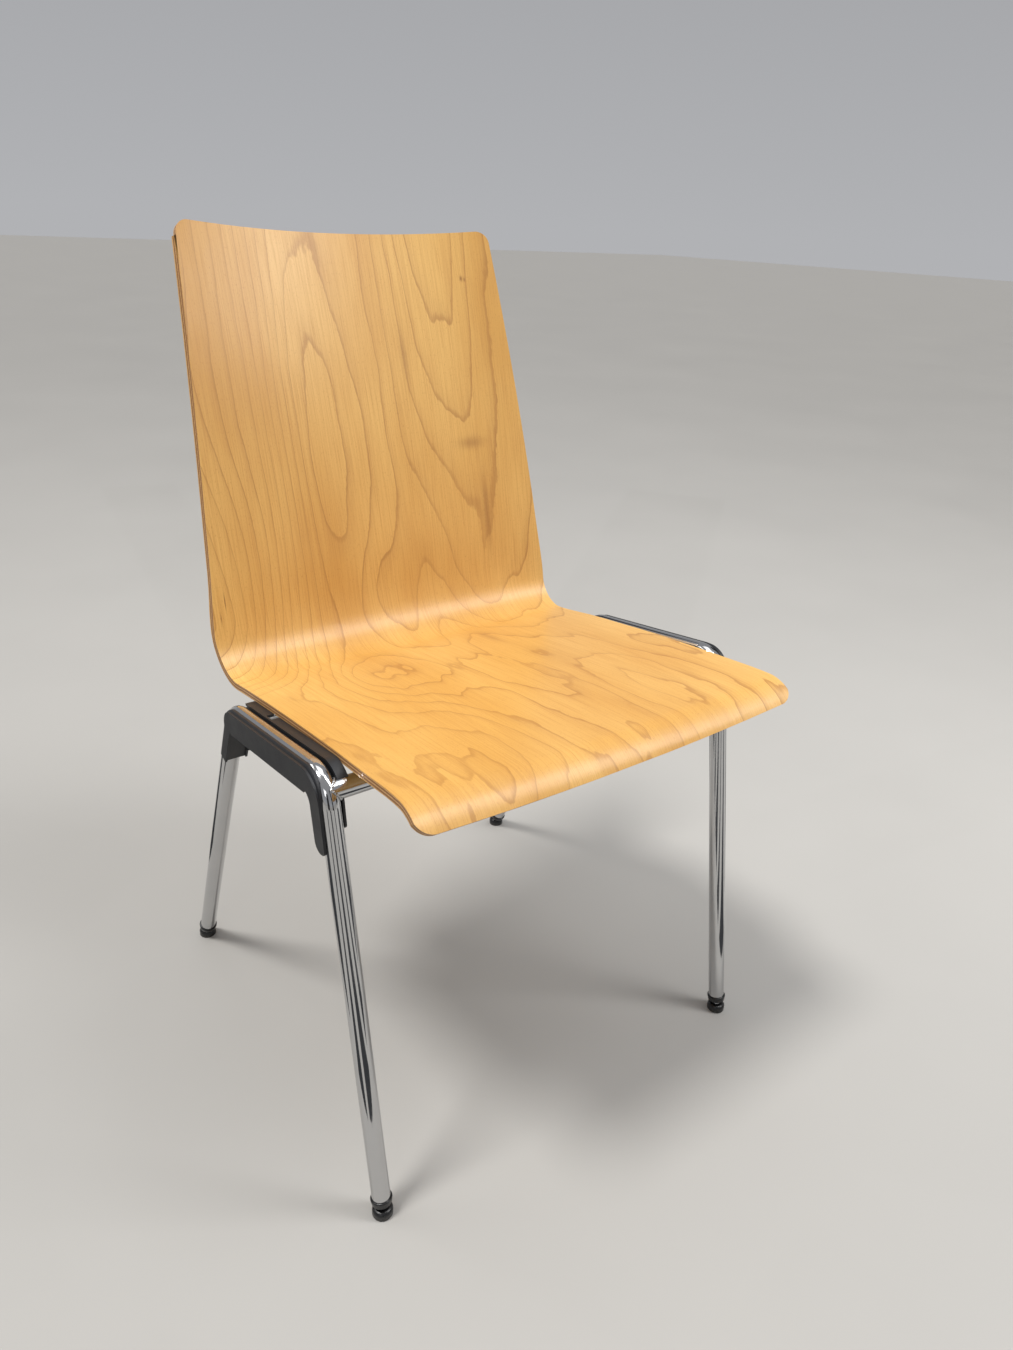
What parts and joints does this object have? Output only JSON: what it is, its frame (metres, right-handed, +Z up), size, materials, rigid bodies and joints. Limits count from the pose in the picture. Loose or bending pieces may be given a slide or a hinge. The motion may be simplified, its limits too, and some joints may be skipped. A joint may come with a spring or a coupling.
{
  "type": "stacking chair",
  "caption": "Stacking chair with a one-piece moulded plywood seat and back on a bent-tube frame with swivelling feet.",
  "frame": {"origin": "floor level, under the middle of the chair's outline in plan", "axes": "+Z up, the sitter faces -Y, +X to the right as seen from the front"},
  "size_m": [0.505, 0.5593, 0.8742],
  "materials": {
    "plywood": "satin clear lacquer",
    "chrome_tube": "polished",
    "strap_steel": "plated",
    "black_moulding": "fine grain",
    "glide_plastic": "smooth",
    "pad_rubber": "matte",
    "fixing_steel": "zinc plated",
    "insert_brass": "machined",
    "rivet_aluminium": "plain"
  },
  "bodies": {
    "chair": {"seat_shell": "plywood", "side_tube_left": "chrome_tube", "side_tube_right": "chrome_tube", "cross_tube_front": "chrome_tube", "cross_tube_rear": "chrome_tube", "seat_strap_left": "strap_steel", "seat_strap_right": "strap_steel", "spacer_pads": "pad_rubber", "seat_inserts": "insert_brass", "seat_screws": "fixing_steel", "stack_moulding_left": "black_moulding", "stack_moulding_right": "black_moulding", "moulding_rivets": "rivet_aluminium", "glide_plug_front_left": "glide_plastic", "glide_plug_front_right": "glide_plastic", "glide_plug_rear_left": "glide_plastic", "glide_plug_rear_right": "glide_plastic", "glide_stud_front_left": "fixing_steel", "glide_stud_front_right": "fixing_steel", "glide_stud_rear_left": "fixing_steel", "glide_stud_rear_right": "fixing_steel"},
    "foot_front_left": {"glide_foot_front_left": "glide_plastic"},
    "foot_front_right": {"glide_foot_front_right": "glide_plastic"},
    "foot_rear_left": {"glide_foot_rear_left": "glide_plastic"},
    "foot_rear_right": {"glide_foot_rear_right": "glide_plastic"}
  },
  "joints": [
    {"name": "tilt_front_left", "type": "hinge", "parent": "chair", "child": "foot_front_left", "pos_m": [-0.2405, -0.24243, 0.008], "axis": [1, 0, 0], "range_deg": [-8, 8]},
    {"name": "tilt_front_right", "type": "hinge", "parent": "chair", "child": "foot_front_right", "pos_m": [0.2405, -0.24243, 0.008], "axis": [1, 0, 0], "range_deg": [-8, 8]},
    {"name": "tilt_rear_left", "type": "hinge", "parent": "chair", "child": "foot_rear_left", "pos_m": [-0.2405, 0.23795, 0.008], "axis": [1, 0, 0], "range_deg": [-8, 8]},
    {"name": "tilt_rear_right", "type": "hinge", "parent": "chair", "child": "foot_rear_right", "pos_m": [0.2405, 0.23795, 0.008], "axis": [1, 0, 0], "range_deg": [-8, 8]}
  ]
}
